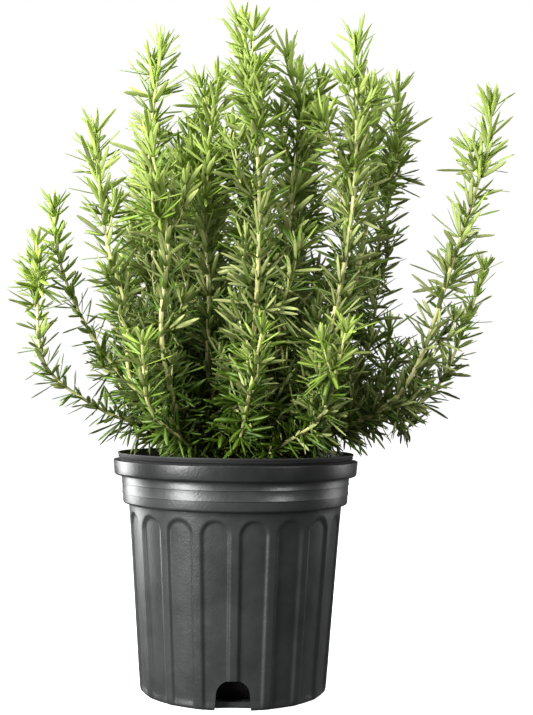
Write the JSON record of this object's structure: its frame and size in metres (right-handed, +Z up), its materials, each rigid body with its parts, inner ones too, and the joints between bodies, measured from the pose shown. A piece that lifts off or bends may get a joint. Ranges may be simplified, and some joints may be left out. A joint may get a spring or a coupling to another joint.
{
  "type": "potted rosemary plant",
  "caption": "Bushy upright rosemary with needle leaves, rooted in dark mix in a fluted black nursery pot with a rolled rim and drain notches.",
  "frame": {"origin": "centre of the pot's base, on the flat it stands on", "axes": "+Z up along the pot's axis, -Y out of the front drain notch, +X to the right seen from the front"},
  "size_m": [0.4345, 0.27, 0.6029],
  "materials": {
    "pot_plastic": "satin",
    "soil": "matte",
    "bark": "matte",
    "stem_bark": "matte",
    "leaf": "satin"
  },
  "bodies": {
    "root": {"nursery_pot": "pot_plastic", "potting_soil": "soil", "woody_crown": "bark", "stem_01": "stem_bark", "stem_02": "stem_bark", "stem_03": "stem_bark", "stem_04": "stem_bark", "stem_05": "stem_bark", "stem_06": "stem_bark", "stem_07": "stem_bark", "stem_08": "stem_bark", "stem_09": "stem_bark", "stem_10": "stem_bark", "stem_11": "stem_bark", "stem_12": "stem_bark", "stem_13": "stem_bark", "stem_14": "stem_bark", "stem_15": "stem_bark", "stem_16": "stem_bark", "stem_17": "stem_bark", "stem_18": "stem_bark", "stem_19": "stem_bark", "stem_20": "stem_bark", "stem_21": "stem_bark", "stem_22": "stem_bark", "stem_23": "stem_bark", "stem_24": "stem_bark", "stem_25": "stem_bark", "stem_26": "stem_bark", "stem_27": "stem_bark", "leaves_01": "leaf", "leaves_02": "leaf", "leaves_03": "leaf", "leaves_04": "leaf", "leaves_05": "leaf", "leaves_06": "leaf", "leaves_07": "leaf", "leaves_08": "leaf", "leaves_09": "leaf", "leaves_10": "leaf", "leaves_11": "leaf", "leaves_12": "leaf", "leaves_13": "leaf", "leaves_14": "leaf", "leaves_15": "leaf", "leaves_16": "leaf", "leaves_17": "leaf", "leaves_18": "leaf", "leaves_19": "leaf", "leaves_20": "leaf", "leaves_21": "leaf", "leaves_22": "leaf", "leaves_23": "leaf", "leaves_24": "leaf", "leaves_25": "leaf", "leaves_26": "leaf", "leaves_27": "leaf"}
  },
  "joints": []
}
